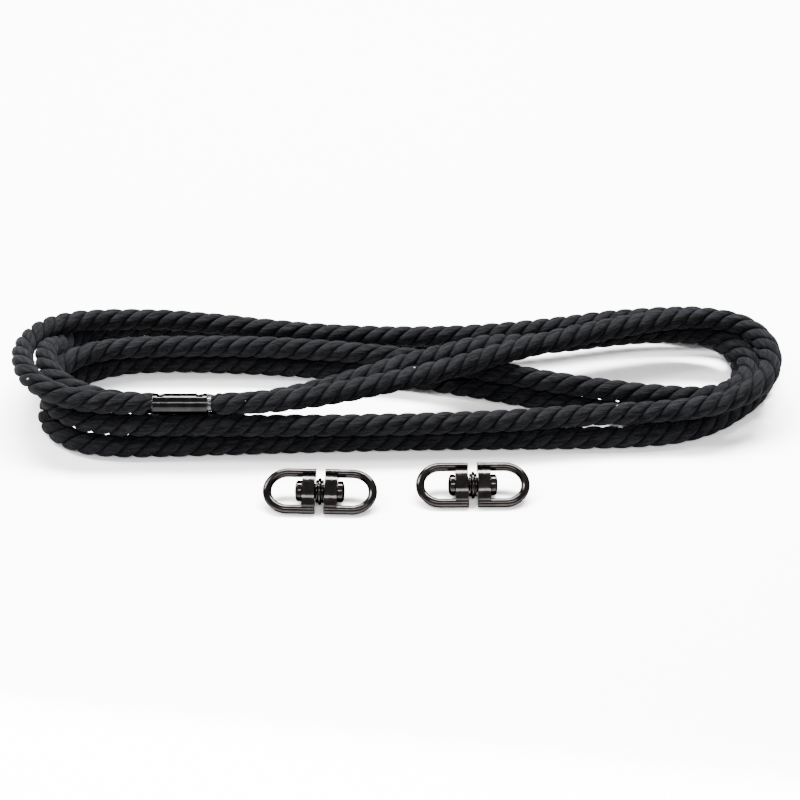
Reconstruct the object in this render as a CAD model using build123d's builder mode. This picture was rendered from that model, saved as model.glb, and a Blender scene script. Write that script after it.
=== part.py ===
"""A twisted rope sling, laid down as a loose four-turn hank, with two double-eye swivels in front of it.

Millimetres. +Z is up and z = 0 is the surface that everything lies on. +X runs along the hank, and the
origin is under the middle of the whole set.
"""

from build123d import *
from math import cos, pi, radians, sin, tan
import os

# ---------------------------------------------------------------- driving dimensions

ROPE_RADIUS = 5.0

# The rope's two ends meet in a crimped ferrule that lies along X.
FERRULE_CENTRE = (-101.5, -24.0, 25.6)
FERRULE_LENGTH = 25.0
FERRULE_RADIUS = 4.8
FERRULE_BORE_RADIUS = 3.75
FERRULE_EDGE_ROUND = 0.4
NOTCH_WIDTH = 2.9
NOTCH_DEPTH = 1.3
NOTCH_FROM_END = 3.4
NOTCH_LEAN = 30.0  # degrees from straight up, away from the front

# Inside the ferrule each end is squeezed to a neck, wrapped in clear tape.
NECK_RADIUS = 3.25
TAPE_GAP = 0.05
TAPE_THICKNESS = 0.4
NECK_INSIDE = 11.5
TAPE_INSIDE = 9.0
LEFT_TAPE_PROUD = 0.4
RIGHT_TAPE_PROUD = 1.9
LEFT_FLARE = 1.6
RIGHT_FLARE = 3.4

# Double-eye swivel: two wire eyes that turn on one headed pin, with a ring between them.
WIRE_RADIUS = 2.0
LEG_OFFSET = 8.8
LEG_START = 2.0
LEG_END = 14.4
BOW_LENGTH = 9.5
BOSS_RADIUS = 5.0
BOSS_REACH = 9.0
BOSS_START = 2.2
BOSS_END = 8.0
HUB_RADIUS = 3.4
HUB_START = 1.85
PIN_RADIUS = 2.3
PIN_CLEARANCE = 0.05
HEAD_RADIUS = 4.75
HEAD_START = 8.1
HEAD_RIM = 10.0
HEAD_END = 11.3
HEAD_EDGE = 0.45
WASHER_RADIUS = 5.2
WASHER_START = 0.75
WASHER_END = 1.75
COLLAR_RADIUS = 6.1
COLLAR_HALF_WIDTH = 0.7
RING_GAP = 0.01  # between the pin and the bores of the collar and washers
RING_EDGE = 0.3

# Where the swivels lie: centre x, centre y and the turn of the pin about Z in degrees.
SWIVELS = {"swivel_1": (-36.1, -63.7, -1.7), "swivel_2": (33.0, -59.1, 0.6)}

# The ring and the near leg of each eye rest on the surface, which sets how far the eyes lean.
AXIS_HEIGHT = COLLAR_RADIUS
EYE_LEAN_SINE = (AXIS_HEIGHT - WIRE_RADIUS) / LEG_OFFSET
EYE_LEAN_COSINE = (1 - EYE_LEAN_SINE**2) ** 0.5

# ---------------------------------------------------------------- the rope's route

# The centre of the rope, from the right face of the ferrule round four turns to its left face.
TURN_1 = [
    # along the front, over the crossing, to the far right
    (-89, -24, 25.6), (-74, -24, 25.6), (-50, -21.5, 25.7), (-15, -11.5, 25.7), (22, 2.5, 25.9),
    (54, 18, 25.9), (92, 33.5, 25.8), (130, 45, 25.6),
    # round the right tip, on top
    (152, 47, 25.5), (168, 42, 25.3), (177, 30.5, 25), (179.5, 16, 23.7), (175, 1.5, 22),
    (163.5, -9, 20), (147, -15.5, 18), (126, -17, 15.7),
    # back along the front, on the second layer
    (95, -18.5, 15.4), (50, -24, 15.4), (-5, -26.8, 15.4), (-60, -27.5, 15.4), (-100, -27, 15.4),
    (-123, -27.2, 15.4), (-140, -25.8, 15.4),
    # round the left tip, on the second layer
    (-153, -21, 15.4), (-163.4, -12, 15.4), (-168.8, 0.5, 15.4), (-167.5, 14.5, 15.4),
    (-160.5, 25.5, 15.4), (-149, 32.5, 15.4), (-133, 35.5, 15.4),
]
TURN_2 = [
    # from the far left to the front right, under the crossing
    (-110, 36.5, 15.4), (-75, 36.5, 15.4), (-35, 33, 15.4), (5, 26.5, 15.4), (40, 17, 15.4),
    (75, 6, 15.4), (107, -1.5, 15.4), (130, -5, 15.4),
    # round the right tip, innermost
    (146, -5.5, 15.4), (160, 0.5, 15.4), (169, 12, 15.4), (170.5, 27, 15.4), (163, 40.5, 15.4),
    (148, 47.5, 15.4),
    # from the far right over the crossing, then down behind the first turn
    (129, 48.5, 15.6), (104, 44, 16.4), (80, 37, 17.5), (60, 31.2, 19.9), (40, 23, 25.8), (20, 14, 26),
    (-5, 4.2, 25), (-35, -6.5, 21), (-70, -14, 17.5), (-105, -15, 17.8), (-128, -15.2, 19.6),
    # round the left tip, over the first turn, inside the last, and down to the surface
    (-143.5, -14.2, 21.6), (-156.5, -9.6, 24.6), (-165.8, -1, 26.3), (-169.8, 11.2, 26.5),
    (-171, 22.5, 24), (-169.6, 34.3, 16.5), (-167, 48.3, 9.2), (-160, 60.5, 6.4), (-146, 67, 5.2),
]
TURN_3 = [
    # along the back, on the surface
    (-125, 70, 5), (-92, 66, 5), (-50, 60.5, 5), (5, 58, 5), (60, 60.5, 5), (102, 66.5, 5),
    (130, 69.5, 5),
    # round the right tip, on the surface
    (149, 66, 5), (162, 57, 5), (169.5, 43.5, 5), (169.5, 27.5, 5), (162.5, 13.5, 5), (151, 3.5, 5),
    (137, -3.5, 5),
    # from the front right to the far left, at the bottom of the crossing
    (118, -5.5, 5), (93, -1, 5), (62, 9, 5), (25, 20, 5), (-15, 29, 5), (-55, 34.5, 5),
    (-92, 37.5, 5), (-120, 38, 5), (-139, 36, 5),
    # round the left tip, on the surface
    (-154, 29.5, 5), (-164.5, 18, 5), (-169, 3, 5), (-167, -11.5, 5), (-157.8, -22.4, 5),
    (-144.5, -28.4, 5),
]
TURN_4 = [
    # along the front, on the surface
    (-123, -29.8, 5), (-90, -28.4, 5), (-40, -26, 5), (20, -24, 5), (75, -23.6, 5),
    (110, -22.5, 5), (132, -19.5, 5),
    # round the right tip, outermost, climbing to the second layer
    (148.5, -12, 5), (163.5, 0, 5), (175, 13.5, 5), (181.5, 29, 6), (180, 45, 9.5),
    (170.5, 56.5, 14.2), (155, 62, 16), (136, 62, 15.7),
    # along the back, on the second layer
    (109, 60, 15.4), (75, 52, 15.4), (30, 45, 15.4), (-15, 44.8, 15.4), (-55, 49, 15.4),
    (-92, 56.3, 15.4), (-119, 60, 15.4), (-141, 60.2, 15.4),
    # round the left tip, on top, and into the ferrule
    (-157, 57, 17.2), (-169.6, 47.8, 21.2), (-178.5, 34, 24.7), (-182, 18.8, 26.5), (-179, 3.2, 28.4),
    (-172.8, -9.8, 29.2), (-162.6, -18.6, 28.4), (-149, -23, 26.8), (-131, -24, 25.6), (-114, -24, 25.6),
]
TURNS = {"rope_turn_1": TURN_1, "rope_turn_2": TURN_2, "rope_turn_3": TURN_3, "rope_turn_4": TURN_4}

os.makedirs("parts", exist_ok=True)


def save(piece, name):
    """Label one finished piece and write it under its name."""
    piece.part.label = name
    export_step(piece.part, f"parts/{name}.step")


# ---------------------------------------------------------------- rope


def corner_radius(before, corner, after):
    """The largest arc that the two runs beside a corner have room for."""
    run_in = Vector(*corner) - Vector(*before)
    run_out = Vector(*after) - Vector(*corner)
    half_turn = radians(run_in.get_angle(run_out)) / 2
    return 0.45 * min(run_in.length, run_out.length) / tan(half_turn)


def middle(a, b):
    return (Vector(*a) + Vector(*b)) / 2


def rope_neck(face_x, direction, proud, flare):
    """Half outline of a squeezed rope end, from inside the ferrule to where the rope is full again.

    face_x is the ferrule's end face, and direction is +1 or -1 along X, out of it. Returns the outline
    and the x at which the rope has its full radius.
    """
    start = face_x - direction * NECK_INSIDE
    neck_end = face_x + direction * proud
    full = neck_end + direction * flare
    flat = (direction, 0)
    with BuildSketch(Plane((0, *FERRULE_CENTRE[1:]), x_dir=(1, 0, 0), z_dir=(0, -1, 0))) as outline:
        with BuildLine():
            Polyline((full, 0), (start, 0), (start, NECK_RADIUS), (neck_end, NECK_RADIUS))
            Spline((neck_end, NECK_RADIUS), (full, ROPE_RADIUS), tangents=(flat, flat))
            Line((full, ROPE_RADIUS), (full, 0))
        make_face()
    return outline.sketch, full


def rope_tube(name, points, tube_radii, neck=None):
    """One turn of the rope, swept along straight runs joined by tangent arcs."""
    with BuildPart() as tube:
        with BuildLine() as path:
            FilletPolyline(*points, radius=tube_radii)
        with BuildSketch(Plane(origin=path.line @ 0, z_dir=path.line % 0)):
            Circle(ROPE_RADIUS)
        sweep(path=path.line)
        length = path.wire().length
        fullness = tube.part.volume / (pi * ROPE_RADIUS**2 * length)
        print(f"{name}: length {length:.0f} mm, volume over section x length {fullness:.4f}")
        if neck is not None:
            revolve(neck, axis=Axis(FERRULE_CENTRE, (1, 0, 0)))
    save(tube, name)
    return length


ferrule_end = FERRULE_LENGTH / 2
right_neck, right_full = rope_neck(FERRULE_CENTRE[0] + ferrule_end, 1, RIGHT_TAPE_PROUD, RIGHT_FLARE)
left_neck, left_full = rope_neck(FERRULE_CENTRE[0] - ferrule_end, -1, LEFT_TAPE_PROUD, LEFT_FLARE)

# The corners' arcs are worked out on the whole route, then it is cut halfway along the run between turns.
route = [point for turn in TURNS.values() for point in turn]
radii = [corner_radius(*route[i - 1 : i + 2]) for i in range(1, len(route) - 1)]
print("corner radii:", [round(r) for r in radii])
print(f"smallest radius {min(radii):.1f} mm")

route[0] = (right_full, *route[0][1:])
route[-1] = (left_full, *route[-1][1:])
rope_length = 0
start = 0
for name, turn in TURNS.items():
    end = start + len(turn)
    points = route[start:end]
    neck = None
    if start == 0:
        neck = right_neck
    else:
        points.insert(0, middle(route[start - 1], route[start]))
    if end == len(route):
        neck = left_neck
    else:
        points.append(middle(route[end - 1], route[end]))
    rope_length += rope_tube(name, points, radii[max(start - 1, 0) : end - 1], neck)
    start = end
print(f"rope between its necks {rope_length:.0f} mm")

# ---------------------------------------------------------------- ferrule and end tapes

ferrule_plane = Plane(FERRULE_CENTRE, x_dir=(0, 1, 0), z_dir=(1, 0, 0))
notch_places = (-ferrule_end + NOTCH_FROM_END, ferrule_end - NOTCH_FROM_END)
with BuildPart() as ferrule:
    with BuildSketch(ferrule_plane.offset(-ferrule_end)):
        Circle(FERRULE_RADIUS)
        Circle(FERRULE_BORE_RADIUS, mode=Mode.SUBTRACT)
    extrude(amount=FERRULE_LENGTH)
    outer_edges = ferrule.edges().filter_by(GeomType.CIRCLE)
    outer_edges = outer_edges.filter_by(lambda e: abs(e.radius - FERRULE_RADIUS) < 0.01)
    fillet(outer_edges, radius=FERRULE_EDGE_ROUND)
    # A flat-bottomed crimp notch across the top near each end, leaning towards the back.
    lean = radians(NOTCH_LEAN)
    notch_up = Vector(0, sin(lean), cos(lean))
    notch_floor = Vector(*FERRULE_CENTRE) + notch_up * (FERRULE_RADIUS - NOTCH_DEPTH)
    with BuildSketch(Plane(notch_floor, x_dir=(1, 0, 0), z_dir=notch_up)):
        with Locations(*[(place, 0) for place in notch_places]):
            Rectangle(NOTCH_WIDTH, 4 * FERRULE_RADIUS)
    extrude(amount=2 * NOTCH_DEPTH, mode=Mode.SUBTRACT)
save(ferrule, "ferrule")

tape_bore = NECK_RADIUS + TAPE_GAP
tapes = {
    "end_tape_left": (-ferrule_end - LEFT_TAPE_PROUD, -ferrule_end + TAPE_INSIDE),
    "end_tape_right": (ferrule_end - TAPE_INSIDE, ferrule_end + RIGHT_TAPE_PROUD),
}
for name, (start, end) in tapes.items():
    with BuildPart() as tape:
        with BuildSketch(ferrule_plane.offset(start)):
            Circle(tape_bore + TAPE_THICKNESS)
            Circle(tape_bore, mode=Mode.SUBTRACT)
        extrude(amount=end - start)
    save(tape, name)

# ---------------------------------------------------------------- swivels


def pin_ring(plane, start, end, radius):
    """A ring on the pin, from start to end along the plane's X axis, with a rounded rim."""
    bore = PIN_RADIUS + RING_GAP
    with BuildPart() as ring:
        with BuildSketch(plane) as half_ring:
            with Locations(((start + end) / 2, (radius + bore) / 2)):
                Rectangle(end - start, radius - bore)
            fillet(half_ring.vertices().group_by(Axis.Y)[-1], radius=RING_EDGE)
        revolve(axis=Axis(plane.origin, plane.x_dir))
    return ring


def headed_pin(plane):
    """The pin along the plane's X axis, with a domed head at each end."""
    with BuildPart() as pin:
        with BuildSketch(plane) as half_pin:
            with BuildLine():
                Polyline((0, PIN_RADIUS), (0, 0), (HEAD_END, 0))
                TangentArc((HEAD_END, 0), (HEAD_RIM, HEAD_RADIUS), tangent=(0, 1))
                Polyline(
                    (HEAD_RIM, HEAD_RADIUS),
                    (HEAD_START, HEAD_RADIUS),
                    (HEAD_START, PIN_RADIUS),
                    (0, PIN_RADIUS),
                )
            make_face()
            rim = half_pin.vertices().filter_by(lambda v: abs(v.X - HEAD_RIM) < 0.01)
            fillet(rim, radius=HEAD_EDGE)
            mirror(about=Plane.YZ)
        revolve(axis=Axis(plane.origin, plane.x_dir))
    return pin


def swivel_eye(plane):
    """One wire eye with its boss, which opens along the plane's +X, with its legs in the plane."""
    across = Plane(plane.origin, x_dir=plane.y_dir, z_dir=plane.x_dir)
    with BuildPart() as eye:
        with BuildLine(plane) as wire:
            leg = Line((LEG_START, LEG_OFFSET), (LEG_END, LEG_OFFSET))
            EllipticalCenterArc((LEG_END, 0), BOW_LENGTH, LEG_OFFSET, start_angle=90, arc_size=-180)
            Line((LEG_END, -LEG_OFFSET), (LEG_START, -LEG_OFFSET))
        with BuildSketch(Plane(origin=leg @ 0, z_dir=leg % 0)):
            Circle(WIRE_RADIUS)
        sweep(path=wire.line)
        # The boss is one strap, from leg to leg, that swells to hold the pin.
        with BuildSketch(across.offset(BOSS_START)):
            Ellipse(BOSS_REACH, BOSS_RADIUS)
        extrude(amount=BOSS_END - BOSS_START)
        with BuildSketch(across.offset(HUB_START)):
            Circle(HUB_RADIUS)
        extrude(amount=BOSS_START - HUB_START)
        with BuildSketch(across.offset(HUB_START)):
            Circle(PIN_RADIUS + PIN_CLEARANCE)
        extrude(amount=BOSS_END - HUB_START, mode=Mode.SUBTRACT)
    return eye


for name, (x, y, yaw) in SWIVELS.items():
    centre = Vector(x, y, AXIS_HEIGHT)
    along = Vector(cos(radians(yaw)), sin(radians(yaw)), 0)
    back = Vector(-along.Y, along.X, 0)
    eye_normal = Vector(0, 0, EYE_LEAN_COSINE) - back * EYE_LEAN_SINE
    right = Plane(centre, x_dir=along, z_dir=eye_normal)
    left = Plane(centre, x_dir=-along, z_dir=eye_normal)
    save(headed_pin(right), f"{name}_pin")
    save(pin_ring(right, -COLLAR_HALF_WIDTH, COLLAR_HALF_WIDTH, COLLAR_RADIUS), f"{name}_collar")
    for side, plane in (("left", left), ("right", right)):
        save(swivel_eye(plane), f"{name}_eye_{side}")
        save(pin_ring(plane, WASHER_START, WASHER_END, WASHER_RADIUS), f"{name}_washer_{side}")
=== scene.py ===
"""The looks of a twisted rope sling and its two double-eye swivels.

Everything is in metres, in the CAD model's frame: +X along the hank, +Z up, z = 0 the surface it lies on.
"""

import math

import bpy
import numpy as np
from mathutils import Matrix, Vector


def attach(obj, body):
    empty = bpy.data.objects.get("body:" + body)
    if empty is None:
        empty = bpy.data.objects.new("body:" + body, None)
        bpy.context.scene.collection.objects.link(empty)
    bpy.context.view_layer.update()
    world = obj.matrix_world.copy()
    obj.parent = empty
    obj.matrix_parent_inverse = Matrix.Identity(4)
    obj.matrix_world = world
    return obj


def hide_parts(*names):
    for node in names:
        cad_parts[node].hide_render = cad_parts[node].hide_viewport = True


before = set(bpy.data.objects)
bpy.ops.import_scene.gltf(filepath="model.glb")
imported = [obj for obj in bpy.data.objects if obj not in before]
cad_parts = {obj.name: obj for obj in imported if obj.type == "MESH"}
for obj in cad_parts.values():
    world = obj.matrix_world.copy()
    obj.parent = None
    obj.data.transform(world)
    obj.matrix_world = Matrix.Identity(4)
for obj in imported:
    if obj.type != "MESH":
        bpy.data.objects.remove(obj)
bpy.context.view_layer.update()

MM = 0.001

# ---------------------------------------------------------------- camera

CAMERA_PLACE = (0, -0.660, 0.507)
CAMERA_PITCH = 37.0
CAMERA_LENS = 77.6
CAMERA_SENSOR = 36.0


def add_camera():
    data = bpy.data.cameras.new("camera")
    data.lens = CAMERA_LENS
    data.sensor_width = CAMERA_SENSOR
    camera = bpy.data.objects.new("camera", data)
    camera.location = CAMERA_PLACE
    camera.rotation_euler = (math.radians(90 - CAMERA_PITCH), 0, 0)
    bpy.context.scene.collection.objects.link(camera)
    bpy.context.scene.camera = camera


add_camera()

# ---------------------------------------------------------------- rope route

ROPE_DIAMETER = 0.010
CURVE_RESOLUTION = 32

# The CAD route of the rope's centre, in millimetres, from the ferrule's right face to its left face.
ROUTE = [
    # along the front, over the crossing, to the far right
    (-89, -24, 25.6), (-74, -24, 25.6), (-50, -21.5, 25.7), (-15, -11.5, 25.7), (22, 2.5, 25.9),
    (54, 18, 25.9), (92, 33.5, 25.8), (130, 45, 25.6),
    # round the right tip, on top
    (152, 47, 25.5), (168, 42, 25.3), (177, 30.5, 25), (179.5, 16, 23.7), (175, 1.5, 22),
    (163.5, -9, 20), (147, -15.5, 18), (126, -17, 15.7),
    # back along the front, on the second layer
    (95, -18.5, 15.4), (50, -24, 15.4), (-5, -26.8, 15.4), (-60, -27.5, 15.4), (-100, -27, 15.4),
    (-123, -27.2, 15.4), (-140, -25.8, 15.4),
    # round the left tip, on the second layer
    (-153, -21, 15.4), (-163.4, -12, 15.4), (-168.8, 0.5, 15.4), (-167.5, 14.5, 15.4),
    (-160.5, 25.5, 15.4), (-149, 32.5, 15.4), (-133, 35.5, 15.4),
    # from the far left to the front right, under the crossing
    (-110, 36.5, 15.4), (-75, 36.5, 15.4), (-35, 33, 15.4), (5, 26.5, 15.4), (40, 17, 15.4),
    (75, 6, 15.4), (107, -1.5, 15.4), (130, -5, 15.4),
    # round the right tip, innermost
    (146, -5.5, 15.4), (160, 0.5, 15.4), (169, 12, 15.4), (170.5, 27, 15.4), (163, 40.5, 15.4),
    (148, 47.5, 15.4),
    # from the far right over the crossing, then down behind the first turn
    (129, 48.5, 15.6), (104, 44, 16.4), (80, 37, 17.5), (60, 31.2, 19.9), (40, 23, 25.8), (20, 14, 26),
    (-5, 4.2, 25), (-35, -6.5, 21), (-70, -14, 17.5), (-105, -15, 17.8), (-128, -15.2, 19.6),
    # round the left tip, over the first turn, inside the last, and down to the surface
    (-143.5, -14.2, 21.6), (-156.5, -9.6, 24.6), (-165.8, -1, 26.3), (-169.8, 11.2, 26.5),
    (-171, 22.5, 24), (-169.6, 34.3, 16.5), (-167, 48.3, 9.2), (-160, 60.5, 6.4), (-146, 67, 5.2),
    # along the back, on the surface
    (-125, 70, 5), (-92, 66, 5), (-50, 60.5, 5), (5, 58, 5), (60, 60.5, 5), (102, 66.5, 5),
    (130, 69.5, 5),
    # round the right tip, on the surface
    (149, 66, 5), (162, 57, 5), (169.5, 43.5, 5), (169.5, 27.5, 5), (162.5, 13.5, 5), (151, 3.5, 5),
    (137, -3.5, 5),
    # from the front right to the far left, at the bottom of the crossing
    (118, -5.5, 5), (93, -1, 5), (62, 9, 5), (25, 20, 5), (-15, 29, 5), (-55, 34.5, 5),
    (-92, 37.5, 5), (-120, 38, 5), (-139, 36, 5),
    # round the left tip, on the surface
    (-154, 29.5, 5), (-164.5, 18, 5), (-169, 3, 5), (-167, -11.5, 5), (-157.8, -22.4, 5),
    (-144.5, -28.4, 5),
    # along the front, on the surface
    (-123, -29.8, 5), (-90, -28.4, 5), (-40, -26, 5), (20, -24, 5), (75, -23.6, 5),
    (110, -22.5, 5), (132, -19.5, 5),
    # round the right tip, outermost, climbing to the second layer
    (148.5, -12, 5), (163.5, 0, 5), (175, 13.5, 5), (181.5, 29, 6), (180, 45, 9.5),
    (170.5, 56.5, 14.2), (155, 62, 16), (136, 62, 15.7),
    # along the back, on the second layer
    (109, 60, 15.4), (75, 52, 15.4), (30, 45, 15.4), (-15, 44.8, 15.4), (-55, 49, 15.4),
    (-92, 56.3, 15.4), (-119, 60, 15.4), (-141, 60.2, 15.4),
    # round the left tip, on top, and into the ferrule
    (-157, 57, 17.2), (-169.6, 47.8, 21.2), (-178.5, 34, 24.7), (-182, 18.8, 26.5), (-179, 3.2, 28.4),
    (-172.8, -9.8, 29.2), (-162.6, -18.6, 28.4), (-149, -23, 26.8), (-131, -24, 25.6), (-114, -24, 25.6),
]


def smooth_line(points):
    """The NURBS line that has these control points, as an array of close points."""
    data = bpy.data.curves.new("route", "CURVE")
    data.dimensions = "3D"
    data.resolution_u = CURVE_RESOLUTION
    spline = data.splines.new("NURBS")
    spline.points.add(len(points) - 1)
    for spline_point, point in zip(spline.points, points):
        spline_point.co = (*point, 1)
    spline.order_u = 3
    spline.use_endpoint_u = True
    curve = bpy.data.objects.new("route", data)
    mesh = bpy.data.meshes.new_from_object(curve)
    line = np.array([vertex.co for vertex in mesh.vertices])
    bpy.data.objects.remove(curve)
    bpy.data.meshes.remove(mesh)
    return line


def evenly_spaced(line, spacing):
    """Points every spacing along a line, and how far along it each one is."""
    steps = np.linalg.norm(np.diff(line, axis=0), axis=1)
    along = np.concatenate([[0], np.cumsum(steps)])
    places = np.linspace(0, along[-1], round(along[-1] / spacing) + 1)
    points = np.stack([np.interp(places, along, line[:, axis]) for axis in range(3)], axis=1)
    return points, places


def unit(vectors):
    return vectors / np.linalg.norm(vectors, axis=-1, keepdims=True)


def carried_frames(points):
    """A side and an up direction at each point, square to the line, carried along it with no twist."""
    tangents = unit(np.gradient(points, axis=0))
    side = np.cross([0, 0, 1], tangents[0])
    sides = []
    for tangent in tangents:
        side = side - tangent * side.dot(tangent)
        side /= np.linalg.norm(side)
        sides.append(side)
    sides = np.array(sides)
    return sides, np.cross(tangents, sides)


def slow_wander(places, wavelength, seed):
    """A smooth random curve between about -1 and 1, which changes over wavelength."""
    rng = np.random.default_rng(seed)
    knots = np.arange(0, places[-1] + 2 * wavelength, wavelength)
    values = rng.uniform(-1, 1, len(knots))
    part = places / wavelength
    index = part.astype(int)
    mix = part - index
    mix = mix * mix * (3 - 2 * mix)
    return values[index] * (1 - mix) + values[index + 1] * mix


# ---------------------------------------------------------------- rope strands

STRANDS = 3
YARNS = 20  # in the outside of one strand
LAY_LENGTH = 0.026
ROPE_DARK = (0.0004, 0.0004, 0.0005, 1)
ROPE_LIGHT = (0.0054, 0.0056, 0.0066, 1)
LINT = (0.25, 0.25, 0.25, 1)
RING_SPACING = 0.0009
STRAND_OFFSET = 0.00256
STRAND_HALF_HEIGHT = 0.00268
STRAND_HALF_WIDTH = 0.0034
STRAND_GAP = 0.00004
YARN_RIDGE = 0.00009
GROOVE_RADIUS = 0.0041
OPEN_RADIUS = 0.0047
FIBRE_SPREAD = 0.05  # keeps the strands' patterns apart
FLOOR_CLEARANCE = 0.00005
TURN_WANDER = 0.10
TURN_WANDER_LENGTH = 0.07
FAT_WANDER = 0.03
FAT_WANDER_LENGTH = 0.03
NECK_SCALE = 0.60
INSIDE_FERRULE = 0.011
FERRULE_CLEAR = 0.0019
FLARE = 0.0034


def neck_scale(places, total):
    """How far the rope is squeezed: to its neck in the ferrule, then widening to full size."""
    from_end = np.minimum(places - INSIDE_FERRULE, total - INSIDE_FERRULE - places)
    widening = np.clip((from_end - FERRULE_CLEAR) / FLARE, 0, 1)
    return NECK_SCALE + (1 - NECK_SCALE) * widening * widening * (3 - 2 * widening)


def strand_rings(points, places, sides, ups, strand):
    """Rings of one strand, shape (ring, column, 3), the same in a straight strand, and how open they lie."""
    seed = 10 * strand
    turn = -2 * math.pi * places / LAY_LENGTH + 2 * math.pi * strand / STRANDS
    turn = turn + TURN_WANDER * slow_wander(places, TURN_WANDER_LENGTH, seed + 1)
    outward = np.cos(turn)[:, None] * sides + np.sin(turn)[:, None] * ups
    across = -np.sin(turn)[:, None] * sides + np.cos(turn)[:, None] * ups
    scale = neck_scale(places, places[-1])

    columns = 2 * YARNS
    yarn_turn = 2 * math.pi / LAY_LENGTH * (ROPE_DIAMETER / 2) / STRAND_HALF_WIDTH
    angle = places[:, None] * yarn_turn + 2 * math.pi * np.arange(columns) / columns
    ridge = np.where(np.arange(columns) % 2 == 0, YARN_RIDGE, -YARN_RIDGE)
    fat = 1 + FAT_WANDER * slow_wander(places, FAT_WANDER_LENGTH, seed + 2)[:, None]
    out = STRAND_OFFSET + (STRAND_HALF_HEIGHT * fat + ridge) * np.cos(angle)
    over = (STRAND_HALF_WIDTH * fat + ridge) * np.sin(angle)
    # The strands press each other flat along the planes between them.
    plane = math.pi / STRANDS
    for hand in (1, -1):
        beyond = hand * over * math.cos(plane) - out * math.sin(plane) + STRAND_GAP
        beyond = np.maximum(beyond, 0)
        out = out + beyond * math.sin(plane)
        over = over - hand * beyond * math.cos(plane)
    # 0 down in the groove between two strands, 1 on their open faces; the rope material uses it to paint
    # shade into the grooves.
    openness = np.clip((np.hypot(out, over) - GROOVE_RADIUS) / (OPEN_RADIUS - GROOVE_RADIUS), 0, 1)
    out = out * scale[:, None]
    over = over * scale[:, None]
    rings = points[:, None] + out[:, :, None] * outward[:, None] + over[:, :, None] * across[:, None]
    # The strands are pressed flat where they lie on the surface.
    rings[:, :, 2] = np.maximum(rings[:, :, 2], FLOOR_CLEARANCE)
    around = np.arange(columns) * 2 * math.pi / columns
    straight = np.stack(
        [
            np.broadcast_to(STRAND_HALF_HEIGHT * np.cos(around) + FIBRE_SPREAD * strand, angle.shape),
            np.broadcast_to(STRAND_HALF_HEIGHT * np.sin(around), angle.shape),
            np.broadcast_to(places[:, None], angle.shape),
        ],
        axis=2,
    )
    return rings, straight, openness


def ring_faces(ring_count, columns, first):
    """Faces of a closed tube of rings, with a cap at each end."""
    ring = np.arange(ring_count - 1)[:, None] * columns
    column = np.arange(columns)[None, :]
    after = (column + 1) % columns
    corners = np.stack([ring + column, ring + after, ring + columns + after, ring + columns + column], axis=2)
    faces = (corners.reshape(-1, 4) + first).tolist()
    faces.append([first + c for c in reversed(range(columns))])
    faces.append([first + (ring_count - 1) * columns + c for c in range(columns)])
    return faces


def add_rope():
    line = smooth_line([Vector(point) * MM for point in ROUTE])
    inside = np.array([INSIDE_FERRULE, 0, 0])
    line = np.concatenate([[line[0] - inside], line, [line[-1] + inside]])
    points, places = evenly_spaced(line, RING_SPACING)
    sides, ups = carried_frames(points)
    vertices, straights, opens, faces = [], [], [], []
    for strand in range(STRANDS):
        rings, straight, openness = strand_rings(points, places, sides, ups, strand)
        faces += ring_faces(len(points), 2 * YARNS, len(vertices) * len(points) * 2 * YARNS)
        vertices.append(rings.reshape(-1, 3))
        straights.append(straight.reshape(-1, 3))
        opens.append(openness.ravel())
    mesh = bpy.data.meshes.new("rope")
    mesh.from_pydata(np.concatenate(vertices), [], faces)
    mesh.polygons.foreach_set("use_smooth", [True] * len(mesh.polygons))
    fibre = mesh.attributes.new("fibre", "FLOAT_VECTOR", "POINT")
    fibre.data.foreach_set("vector", np.concatenate(straights).ravel())
    open_face = mesh.attributes.new("open_face", "FLOAT", "POINT")
    open_face.data.foreach_set("value", np.concatenate(opens))
    rope = bpy.data.objects.new("rope", mesh)
    bpy.context.scene.collection.objects.link(rope)
    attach(rope, "rope")
    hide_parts("rope_turn_1", "rope_turn_2", "rope_turn_3", "rope_turn_4")
    return rope


# ---------------------------------------------------------------- materials


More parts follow.
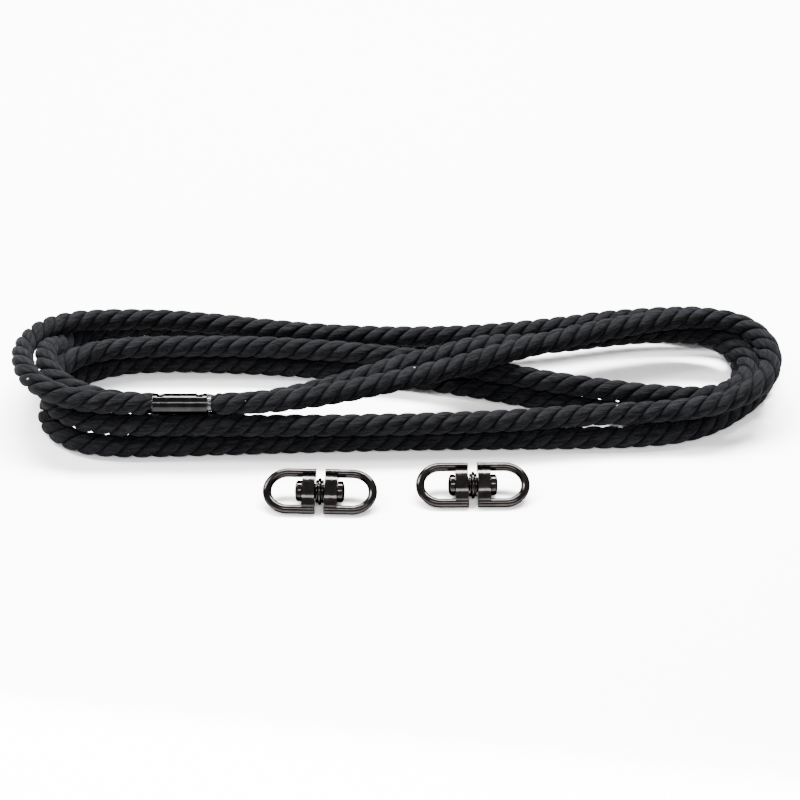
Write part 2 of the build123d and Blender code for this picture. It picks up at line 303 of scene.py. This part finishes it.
class Nodes:
    """A principled material and short calls that add nodes to it."""

    def __init__(self, name):
        self.material = bpy.data.materials.new(name)
        self.material.use_nodes = True
        self.tree = self.material.node_tree
        self.shader = self.tree.nodes["Principled BSDF"]

    def add(self, kind, inputs=(), **settings):
        """A node with its settings, and its inputs either linked or set. Returns its outputs."""
        node = self.tree.nodes.new(kind)
        for key, value in settings.items():
            setattr(node, key, value)
        for key, value in dict(inputs).items():
            self.feed(node.inputs[key], value)
        return node.outputs

    def feed(self, socket, value):
        if isinstance(value, bpy.types.NodeSocket):
            self.tree.links.new(value, socket)
        else:
            socket.default_value = value

    def shade(self, **values):
        """Set or link the shader's sockets. An underscore stands for a space."""
        for key, value in values.items():
            self.feed(self.shader.inputs[key.replace("_", " ")], value)
        return self.material

    def noise(self, place, scale, detail=3.0, roughness=0.5):
        inputs = {"Vector": place, "Scale": scale, "Detail": detail, "Roughness": roughness}
        return self.add("ShaderNodeTexNoise", inputs)["Fac"]

    def stretched(self, place, scale):
        return self.add("ShaderNodeMapping", {"Vector": place, "Scale": scale})["Vector"]

    def sum(self, a, b):
        return self.add("ShaderNodeMath", {0: a, 1: b}, operation="ADD")[0]

    def times(self, a, b):
        return self.add("ShaderNodeMath", {0: a, 1: b}, operation="MULTIPLY")[0]

    def span(self, value, low, high, to_low, to_high):
        """Map low..high to to_low..to_high, clamped."""
        inputs = {"Value": value, 1: low, 2: high, 3: to_low, 4: to_high}
        return self.add("ShaderNodeMapRange", inputs)[0]

    def blend(self, factor, a, b):
        """Mix colour a to colour b."""
        node = self.tree.nodes.new("ShaderNodeMix")
        node.data_type = "RGBA"
        for socket, value in ((node.inputs[0], factor), (node.inputs[6], a), (node.inputs[7], b)):
            self.feed(socket, value)
        return node.outputs[2]

    def bump(self, height, distance, strength=1.0):
        inputs = {"Height": height, "Distance": distance, "Strength": strength}
        return self.add("ShaderNodeBump", inputs)["Normal"]


def rope_material():
    m = Nodes("rope_yarn")
    fibre = m.add("ShaderNodeAttribute", attribute_name="fibre")["Vector"]
    streaks = m.noise(m.stretched(fibre, (1, 1, 0.12)), 1500, 3, 0.6)
    yarns = m.noise(m.stretched(fibre, (1, 1, 0.05)), 900, 1)
    patches = m.noise(fibre, 70, 2)
    fuzz = m.noise(m.stretched(fibre, (1, 1, 0.4)), 2800, 3, 0.7)
    shade = m.sum(m.times(streaks, 0.6), m.sum(m.times(yarns, 0.3), m.times(patches, 0.15)))
    shade = m.sum(shade, m.times(fuzz, 0.5))
    open_face = m.add("ShaderNodeAttribute", attribute_name="open_face")["Fac"]
    # Painted shade: the yarn colour falls to a twentieth of itself down in the grooves between the strands.
    shade = m.times(m.span(shade, 0.69, 0.87, 0, 1), m.span(open_face, 0, 1, 0.05, 1))
    colour = m.blend(shade, ROPE_DARK, ROPE_LIGHT)
    # A few specks of pale lint are caught in the yarns.
    specks = m.noise(m.stretched(fibre, (1, 1, 0.7)), 420, 1)
    colour = m.blend(m.span(specks, 0.80, 0.82, 0, 1), colour, LINT)
    height = m.sum(m.times(streaks, 0.7), m.times(fuzz, 0.5))
    return m.shade(
        Base_Color=colour,
        Roughness=m.span(fuzz, 0.3, 0.7, 0.7, 0.95),
        Specular_IOR_Level=0.04,
        Sheen_Weight=0.012,
        Sheen_Roughness=0.4,
        Sheen_Tint=(0.8, 0.85, 1.0, 1),
        Normal=m.bump(height, 0.0009, 1.0),
    )


def metal_material(name, dark, light, roughness):
    """Plated metal with cloudy colour, fine scratches and a slightly uneven polish."""
    m = Nodes(name)
    place = m.add("ShaderNodeTexCoord")["Object"]
    cloud = m.noise(place, 260, 3)
    fine = m.noise(m.stretched(place, (0.3, 1, 1)), 2400, 2)
    polish = m.sum(m.times(fine, 0.6), m.times(cloud, 0.4))
    return m.shade(
        Base_Color=m.blend(m.span(cloud, 0.3, 0.7, 0, 1), dark, light),
        Metallic=1.0,
        Specular_Tint=(0.06, 0.06, 0.06, 1),
        Roughness=m.span(polish, 0.35, 0.65, roughness * 0.7, roughness * 1.4),
        Normal=m.bump(m.sum(m.times(fine, 0.4), cloud), 0.0002, 0.12),
    )


TAPE_DARK = (0.006, 0.006, 0.007, 1)
TAPE_LIGHT = (0.03, 0.03, 0.032, 1)


def tape_material():
    """Clear film over the squeezed yarn: a pale haze with a gloss coat and fine creases."""
    m = Nodes("clear_tape")
    place = m.add("ShaderNodeTexCoord")["Object"]
    creases = m.noise(m.stretched(place, (3, 1, 1)), 900, 2)
    return m.shade(
        Base_Color=m.blend(m.span(creases, 0.35, 0.65, 0, 1), TAPE_DARK, TAPE_LIGHT),
        Roughness=m.span(creases, 0.3, 0.7, 0.08, 0.2),
        Specular_IOR_Level=0.2,
        Transmission_Weight=0.3,
        Coat_Weight=0.06,
        Coat_Roughness=0.05,
        Normal=m.bump(creases, 0.0003, 0.5),
    )


# ---------------------------------------------------------------- smooth metal pieces

SEGMENTS = 96
EDGE_ROUND = 0.00025
EDGE_SEGMENTS = 3
SHARP_ANGLE = math.radians(50)

WIRE_RADIUS = 2.0
LEG_OFFSET = 8.8
LEG_START = 2.0
LEG_END = 14.4
BOW_LENGTH = 9.5
BOSS_RADIUS = 5.0
BOSS_REACH = 9.0
BOSS_START = 2.2
BOSS_END = 8.0
HUB_RADIUS = 3.4
HUB_START = 1.85
PIN_RADIUS = 2.3
BORE_RADIUS = 2.35
HEAD_RADIUS = 4.75
HEAD_START = 8.1
HEAD_RIM = 10.0
HEAD_END = 11.3
COLLAR_HALF_WIDTH = 0.7
COLLAR_RADIUS = 6.1
WASHER_PLACE = (0.75, 1.75)
WASHER_RADIUS = 5.2
RIM_STEPS = 12
DOME_STEPS = 12
DOME_END = 12.6  # the step at which a dome would close; it stops a little short, as a small flat
BOW_STEPS = 96
WIRE_SIDES = 32
AXIS_HEIGHT = 6.1
EYE_LEAN_SINE = (AXIS_HEIGHT - WIRE_RADIUS) / LEG_OFFSET
SWIVELS = {"swivel_1": (-36.1, -63.7, -1.7), "swivel_2": (33.0, -59.1, 0.6)}

FERRULE_CENTRE = (-101.5, -24.0, 25.6)
FERRULE_HALF_LENGTH = 12.5
FERRULE_RADIUS = 4.8
FERRULE_BORE_RADIUS = 3.75
NOTCH_MIDDLES = (-9.1, 9.1)
NOTCH_HALF_WIDTH = 1.45
NOTCH_DEPTH = 1.3
NOTCH_RAMP = 0.1
NOTCH_LEAN = 30.0
TAPE_INNER_RADIUS = 3.3
TAPE_OUTER_RADIUS = 3.7
TAPES = {"end_tape_left": (-12.9, -3.5), "end_tape_right": (3.5, 14.4)}


def smooth_piece(node, body, material, vertices, faces):
    """A smooth mesh, from millimetres, with rounded edges, that stands in for one CAD node."""
    mesh = bpy.data.meshes.new(node)
    mesh.from_pydata([Vector(vertex) * MM for vertex in vertices], [], faces)
    mesh.polygons.foreach_set("use_smooth", [True] * len(mesh.polygons))
    mesh.set_sharp_from_angle(angle=SHARP_ANGLE)
    mesh.materials.append(material)
    piece = bpy.data.objects.new(f"{node}_smooth", mesh)
    bpy.context.scene.collection.objects.link(piece)
    bevel = piece.modifiers.new("rounded edges", "BEVEL")
    bevel.width = EDGE_ROUND
    bevel.segments = EDGE_SEGMENTS
    bevel.harden_normals = True
    bevel.limit_method = "ANGLE"
    bevel.angle_limit = SHARP_ANGLE
    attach(piece, body)
    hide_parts(node)
    return piece


def joined(*parts):
    """Several (vertices, faces) pairs as one pair."""
    vertices, faces = [], []
    for part_vertices, part_faces in parts:
        first = len(vertices)
        vertices += list(part_vertices)
        faces += [tuple(first + corner for corner in face) for face in part_faces]
    return vertices, faces


def banded(rings, closed):
    """Faces between rings of equal length. A closed band joins the last ring to the first."""
    columns = len(rings[0])
    count = len(rings)
    faces = []
    for ring in range(count if closed else count - 1):
        after = (ring + 1) % count
        for column in range(columns):
            beside = (column + 1) % columns
            faces.append(
                (
                    ring * columns + column,
                    ring * columns + beside,
                    after * columns + beside,
                    after * columns + column,
                )
            )
    if not closed:
        faces.append(tuple(reversed(range(columns))))
        faces.append(tuple(range((count - 1) * columns, count * columns)))
    return [point for ring in rings for point in ring], faces


def circle(axes, centre, along, radius):
    """A ring of points about the first of three axes."""
    middle = centre + axes[0] * along
    turns = [2 * math.pi * step / SEGMENTS for step in range(SEGMENTS)]
    return [middle + (axes[1] * math.cos(turn) + axes[2] * math.sin(turn)) * radius for turn in turns]


def turned(axes, centre, profile, closed=True):
    """A piece turned about the first axis, from (along, radius) pairs."""
    return banded([circle(axes, centre, along, radius) for along, radius in profile], closed)


def ring_profile(start, end, inner, outer):
    return [(start, inner), (start, outer), (end, outer), (end, inner)]


def round_rimmed(start, end, inner, outer):
    """The profile of a ring whose rim is half round."""
    middle = (start + end) / 2
    half = (end - start) / 2
    rim = []
    for step in range(RIM_STEPS + 1):
        turn = math.pi * step / RIM_STEPS
        rim.append((middle - half * math.cos(turn), outer - half + half * math.sin(turn)))
    return [(start, inner), *rim, (end, inner)]


def pin_profile():
    """The headed pin from end to end, with an elliptical dome on each head."""
    side = [(HEAD_START, PIN_RADIUS), (HEAD_START, HEAD_RADIUS)]
    for step in range(DOME_STEPS + 1):
        turn = math.radians(90) * step / DOME_END
        dome = (HEAD_END - HEAD_RIM) * math.sin(turn)
        side.append((HEAD_RIM + dome, HEAD_RADIUS * math.cos(turn)))
    return [(-along, radius) for along, radius in reversed(side)] + side


def wire_rings(axes, centre):
    """Rings along the wire of an eye: a straight leg, the bow and the other leg."""
    places = [(LEG_START, LEG_OFFSET, 0.0)]
    for step in range(BOW_STEPS + 1):
        turn = math.pi * step / BOW_STEPS
        place = (LEG_END + BOW_LENGTH * math.sin(turn), LEG_OFFSET * math.cos(turn))
        slope = math.atan2(LEG_OFFSET * math.sin(turn), BOW_LENGTH * math.cos(turn))
        places.append((*place, slope))
    places.append((LEG_START, -LEG_OFFSET, math.pi))
    rings = []
    for along, over, slope in places:
        out = axes[0] * math.sin(slope) + axes[1] * math.cos(slope)
        middle = centre + axes[0] * along + axes[1] * over
        ring = []
        for step in range(WIRE_SIDES):
            turn = 2 * math.pi * step / WIRE_SIDES
            ring.append(middle + (out * math.cos(turn) + axes[2] * math.sin(turn)) * WIRE_RADIUS)
        rings.append(ring)
    return rings


def strap_ring(axes, centre, along):
    """The outline of an eye's strap: an ellipse that reaches into both legs."""
    middle = centre + axes[0] * along
    ring = []
    for step in range(SEGMENTS):
        turn = 2 * math.pi * step / SEGMENTS
        over = axes[1] * (BOSS_REACH * math.cos(turn)) + axes[2] * (BOSS_RADIUS * math.sin(turn))
        ring.append(middle + over)
    return ring


def add_swivel(name, material):
    x, y, yaw = SWIVELS[name]
    centre = Vector((x, y, AXIS_HEIGHT))
    along = Vector((math.cos(math.radians(yaw)), math.sin(math.radians(yaw)), 0))
    back = Vector((-along.y, along.x, 0))
    eye_normal = Vector((0, 0, math.sqrt(1 - EYE_LEAN_SINE**2))) - back * EYE_LEAN_SINE
    upright = (along, back, Vector((0, 0, 1)))
    washer = round_rimmed(*WASHER_PLACE, PIN_RADIUS, WASHER_RADIUS)
    collar = round_rimmed(-COLLAR_HALF_WIDTH, COLLAR_HALF_WIDTH, PIN_RADIUS, COLLAR_RADIUS)
    mirrored_washer = [(-place, radius) for place, radius in reversed(washer)]
    turned_pieces = {
        f"{name}_pin": turned(upright, centre, pin_profile(), closed=False),
        f"{name}_collar": turned(upright, centre, collar),
        f"{name}_washer_left": turned(upright, centre, mirrored_washer),
        f"{name}_washer_right": turned(upright, centre, washer),
    }
    for node, (vertices, faces) in turned_pieces.items():
        smooth_piece(node, name, material, vertices, faces)
    for side, hand in (("left", -1), ("right", 1)):
        out = along * hand
        axes = (out, eye_normal.cross(out), eye_normal)
        strap = [
            circle(axes, centre, BOSS_START, BORE_RADIUS),
            strap_ring(axes, centre, BOSS_START),
            strap_ring(axes, centre, BOSS_END),
            circle(axes, centre, BOSS_END, BORE_RADIUS),
        ]
        hub = ring_profile(HUB_START, BOSS_START, BORE_RADIUS, HUB_RADIUS)
        vertices, faces = joined(
            banded(wire_rings(axes, centre), closed=False),
            banded(strap, closed=True),
            turned(axes, centre, hub),
        )
        node = f"{name}_eye_{side}"
        smooth_piece(node, node, material, vertices, faces)


def add_ferrule(material, tape):
    """The ferrule, with a flat notch across its top near each end, and the tape inside it."""
    centre = Vector(FERRULE_CENTRE)
    axes = (Vector((1, 0, 0)), Vector((0, 1, 0)), Vector((0, 0, 1)))
    lean = math.radians(NOTCH_LEAN)
    notch_up = Vector((0, math.sin(lean), math.cos(lean)))
    places = [(-FERRULE_HALF_LENGTH, False)]
    for middle in NOTCH_MIDDLES:
        low = middle - NOTCH_HALF_WIDTH
        high = middle + NOTCH_HALF_WIDTH
        places += [(low, False), (low + NOTCH_RAMP, True), (high - NOTCH_RAMP, True), (high, False)]
    places.append((FERRULE_HALF_LENGTH, False))
    rings = [circle(axes, centre, -FERRULE_HALF_LENGTH, FERRULE_BORE_RADIUS)]
    for place, notched in places:
        ring = circle(axes, centre, place, FERRULE_RADIUS)
        if notched:
            for index, point in enumerate(ring):
                above = (point - centre).dot(notch_up) - (FERRULE_RADIUS - NOTCH_DEPTH)
                ring[index] = point - notch_up * max(above, 0)
        rings.append(ring)
    rings.append(circle(axes, centre, FERRULE_HALF_LENGTH, FERRULE_BORE_RADIUS))
    vertices, faces = banded(rings, closed=True)
    smooth_piece("ferrule", "rope", material, vertices, faces)
    for name, (start, end) in TAPES.items():
        profile = ring_profile(start, end, TAPE_INNER_RADIUS, TAPE_OUTER_RADIUS)
        vertices, faces = turned(axes, centre, profile)
        smooth_piece(name, "rope", tape, vertices, faces)


# ---------------------------------------------------------------- floor and light


def add_floor():
    bpy.ops.mesh.primitive_plane_add(size=12, location=(0, 0, 0))
    floor = bpy.context.object
    floor.name = "floor"
    m = Nodes("floor")
    m.shade(Base_Color=(0.9, 0.9, 0.9, 1), Roughness=0.5, Coat_Weight=0.5, Coat_Roughness=0.08)
    floor.data.materials.append(m.material)


def add_light(name, place, size, power, target=(0, 0, 0)):
    data = bpy.data.lights.new(name, "AREA")
    data.shape = "RECTANGLE"
    data.size, data.size_y = size
    data.energy = power
    light = bpy.data.objects.new(name, data)
    light.location = place
    direction = Vector(target) - Vector(place)
    light.rotation_euler = direction.to_track_quat("-Z", "Y").to_euler()
    bpy.context.scene.collection.objects.link(light)


def add_world(strength):
    world = bpy.data.worlds.new("studio")
    world.use_nodes = True
    background = world.node_tree.nodes["Background"]
    background.inputs["Color"].default_value = (1, 1, 1, 1)
    background.inputs["Strength"].default_value = strength
    bpy.context.scene.world = world


add_floor()
add_world(1.0)
add_light("overhead", (0.1, 0.75, 1.3), (1.4, 0.3), 280)
add_light("left", (-0.9, 0.2, 1.1), (0.3, 0.9), 60)
add_light("front", (0.1, -1.1, 1.3), (1.2, 0.25), 30)

rope = add_rope()
rope.data.materials.append(rope_material())

gunmetal = metal_material("gunmetal", (0.008, 0.0078, 0.008, 1), (0.014, 0.0135, 0.014, 1), 0.12)
black_nickel = metal_material("black_nickel", (0.013, 0.0118, 0.0115, 1), (0.024, 0.0216, 0.0208, 1), 0.11)
add_ferrule(gunmetal, tape_material())
for name in SWIVELS:
    add_swivel(name, black_nickel)
